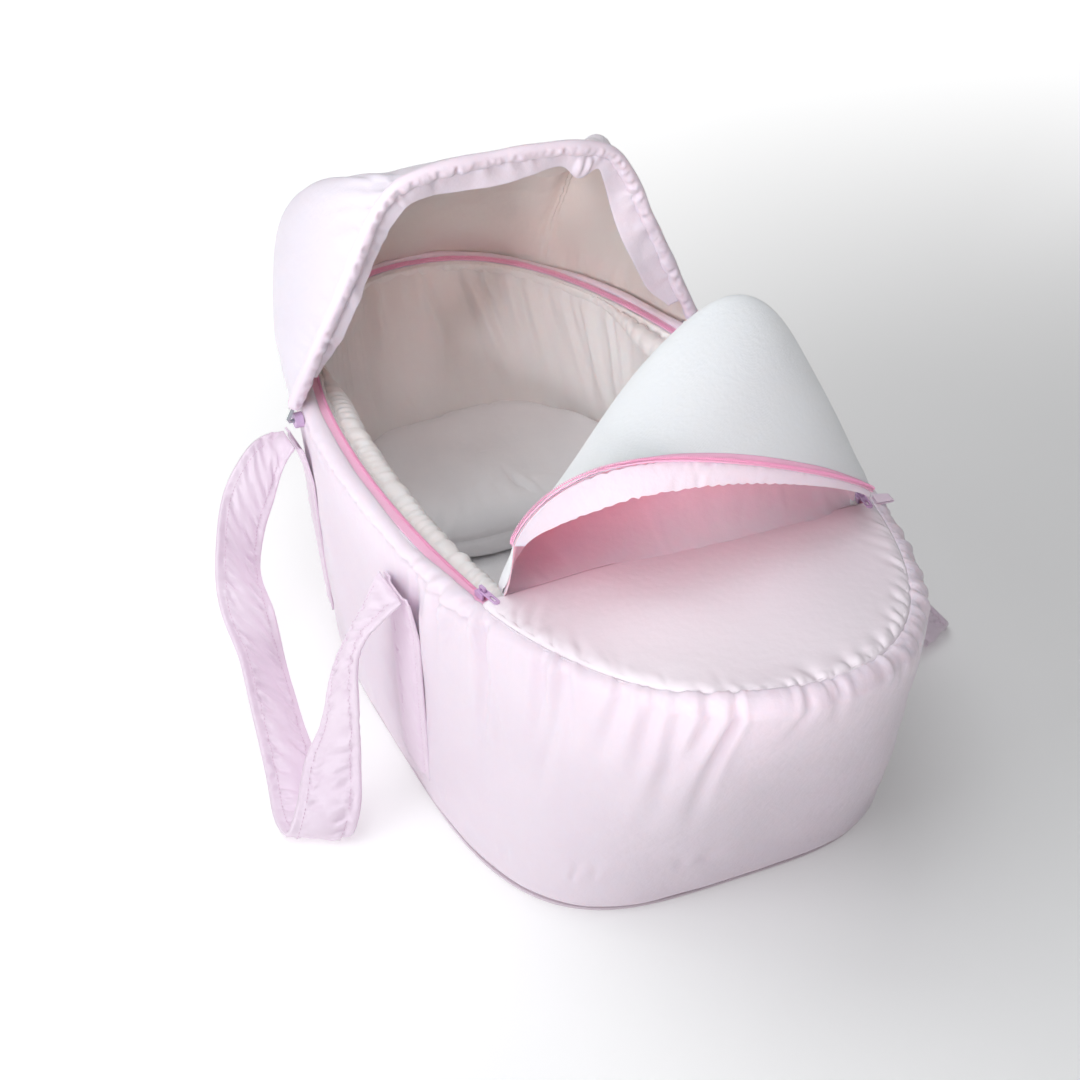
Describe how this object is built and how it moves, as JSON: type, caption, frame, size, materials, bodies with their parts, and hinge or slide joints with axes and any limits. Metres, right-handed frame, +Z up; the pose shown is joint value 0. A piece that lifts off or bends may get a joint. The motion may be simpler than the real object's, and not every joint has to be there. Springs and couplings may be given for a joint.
{
  "type": "bassinet",
  "caption": "Soft carry bassinet with a padded oval shell, folding bow hood, folded-back zip cover over the foot end, mattress, pillow and side strap handles.",
  "frame": {"origin": "middle of the flat underside of the base, on the surface it stands on", "axes": "+Z up, +Y along the length towards the head end, +X to the right of someone standing at the foot end"},
  "size_m": [0.662, 0.8296, 0.4506],
  "materials": {
    "satin": "pale pink polyester satin, smooth with soft gathers",
    "base_cloth": "woven base cloth under the shell",
    "liner": "fine gathered off-white cotton",
    "cover_lining": "brushed white knit",
    "bedding": "soft white cotton cover over fibre filling",
    "wadding": "polyester wadding",
    "board": "pressed fibreboard",
    "zip_tape": "woven bright pink zip tape",
    "zip_coil": "nylon coil teeth, bright pink",
    "slider": "lilac lacquered slider and pull",
    "spring_steel": "drawn spring wire",
    "socket": "lilac moulded nylon"
  },
  "bodies": {
    "basket": {"base_fabric": "base_cloth", "base_board": "board", "outer_cover": "satin", "wall_padding": "wadding", "inner_liner": "liner", "liner_roll": "liner", "rim_zip_tape": "zip_tape", "rim_zip_coil": "zip_coil", "mattress": "bedding", "pillow": "bedding", "foot_cover": "satin", "corner_tab": "satin", "bow_socket_left": "socket", "bow_socket_right": "socket", "handle_left_head_band": "satin", "handle_left_foot_band": "satin", "handle_right_head_band": "satin", "handle_right_foot_band": "satin"},
    "hood": {"bow_wire": "spring_steel", "bow_sleeve": "satin", "hood_canopy": "satin", "hood_lining": "liner", "hood_facing": "satin"},
    "flap": {"flap_outer": "satin", "flap_lining": "cover_lining", "flap_zip_tape": "zip_tape", "flap_zip_coil": "zip_coil", "flap_placket": "satin"},
    "handle_left": {"handle_left": "satin"},
    "handle_right": {"handle_right": "satin"},
    "slider_left": {"zip_slider_left": "slider"},
    "pull_left": {"zip_pull_left": "slider"},
    "slider_right": {"zip_slider_right": "slider"},
    "pull_right": {"zip_pull_right": "slider"}
  },
  "joints": [
    {"name": "hood_fold", "type": "hinge", "parent": "basket", "child": "hood", "pos_m": [0, 0.16, 0.227], "axis": [-1, 0, 0], "range_deg": [0, 65], "deforming": ["hood_canopy", "hood_lining"]},
    {"name": "cover_fold", "type": "hinge", "parent": "basket", "child": "flap", "pos_m": [0, -0.197, 0.25203], "axis": [1, 0, 0], "range_deg": [-40, 36]},
    {"name": "handle_left_swing", "type": "hinge", "parent": "basket", "child": "handle_left", "pos_m": [-0.202, 0.167, 0.205], "axis": [0.0133, 0.9996, -0.0265], "range_deg": [0, 60]},
    {"name": "handle_right_swing", "type": "hinge", "parent": "basket", "child": "handle_right", "pos_m": [0.202, 0.167, 0.205], "axis": [0.0133, -0.9996, 0.0265], "range_deg": [0, 60]},
    {"name": "slider_left_run", "type": "hinge", "parent": "basket", "child": "slider_left", "pos_m": [0.98226, 0.00418, 0.2443], "axis": [0, -0.0245, -0.9997], "range_deg": [0, 15]},
    {"name": "pull_left_swing", "type": "hinge", "parent": "slider_left", "child": "pull_left", "pos_m": [-0.16384, -0.18704, 0.25318], "axis": [-0.9865, -0.1637, 0.004], "range_deg": [0, 120]},
    {"name": "slider_right_run", "type": "hinge", "parent": "basket", "child": "slider_right", "pos_m": [-0.98226, 0.00418, 0.2443], "axis": [0, 0.0245, 0.9997], "range_deg": [0, 15]},
    {"name": "pull_right_swing", "type": "hinge", "parent": "slider_right", "child": "pull_right", "pos_m": [0.16384, -0.18704, 0.25318], "axis": [-0.9865, 0.1637, -0.004], "range_deg": [0, 120]}
  ]
}
